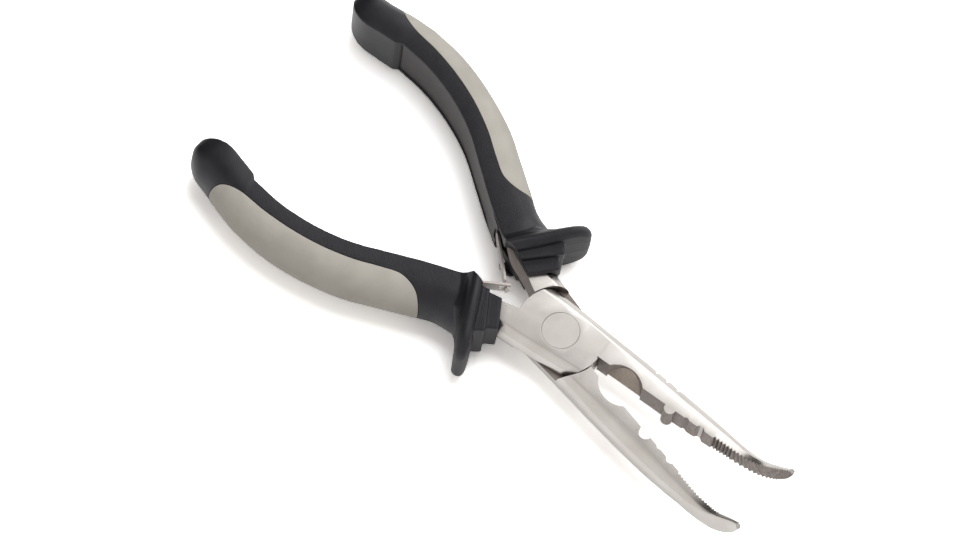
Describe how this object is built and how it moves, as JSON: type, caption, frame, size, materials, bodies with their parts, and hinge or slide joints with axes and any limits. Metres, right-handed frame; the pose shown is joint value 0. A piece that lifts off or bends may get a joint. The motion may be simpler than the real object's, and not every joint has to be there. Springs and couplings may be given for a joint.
{
  "type": "fishing pliers",
  "caption": "Bent-nose pliers with long curved jaws, a flush lap joint, two-colour moulded grips with finger guards, and interlocking leaf springs.",
  "frame": {"origin": "on the pivot axis, at the flat back face of the joint", "axes": "+X forwards between the jaws at rest, +Z out of the joint's front face, the way the nose bends, +Y towards the front jaw"},
  "size_m": [0.1616, 0.0718, 0.0257],
  "materials": {
    "plated_steel": "satin nickel plate",
    "spring_steel": "satin",
    "black_grip": "fine grain",
    "black_core": "smooth, slightly glossy",
    "grey_inlay": "matte"
  },
  "bodies": {
    "front_half": {"jaw_front": "plated_steel", "pivot_rivet": "plated_steel", "grip_sleeve_front": "black_grip", "grip_core_front": "black_core", "grip_inlay_front": "grey_inlay", "spring_pin_front": "spring_steel"},
    "back_half": {"jaw_back": "plated_steel", "grip_sleeve_back": "black_grip", "grip_core_back": "black_core", "grip_inlay_back": "grey_inlay", "spring_pin_back": "spring_steel"},
    "front_leaf": {"leaf_spring_front": "spring_steel"},
    "back_leaf": {"leaf_spring_back": "spring_steel"}
  },
  "joints": [
    {"name": "jaw_pivot", "type": "hinge", "parent": "front_half", "child": "back_half", "pos_m": [0, 0, 0.004], "axis": [0, 0, -1], "range_deg": [-15.2, 3.5], "stiffness_Nm_per_rad": 1.2},
    {"name": "front_leaf_bend", "type": "hinge", "parent": "front_half", "child": "front_leaf", "pos_m": [-0.03262, -0.0128, 0.004], "axis": [0, 0, 1], "range_deg": [-8.5, 2.5]},
    {"name": "back_leaf_bend", "type": "hinge", "parent": "back_half", "child": "back_leaf", "pos_m": [-0.03262, 0.0128, 0.004], "axis": [0, 0, -1], "range_deg": [-8.5, 2.5]}
  ],
  "couplings": [
    {"joint": "front_leaf_bend", "follows": "jaw_pivot", "ratio": 0.53},
    {"joint": "back_leaf_bend", "follows": "jaw_pivot", "ratio": 0.53}
  ]
}
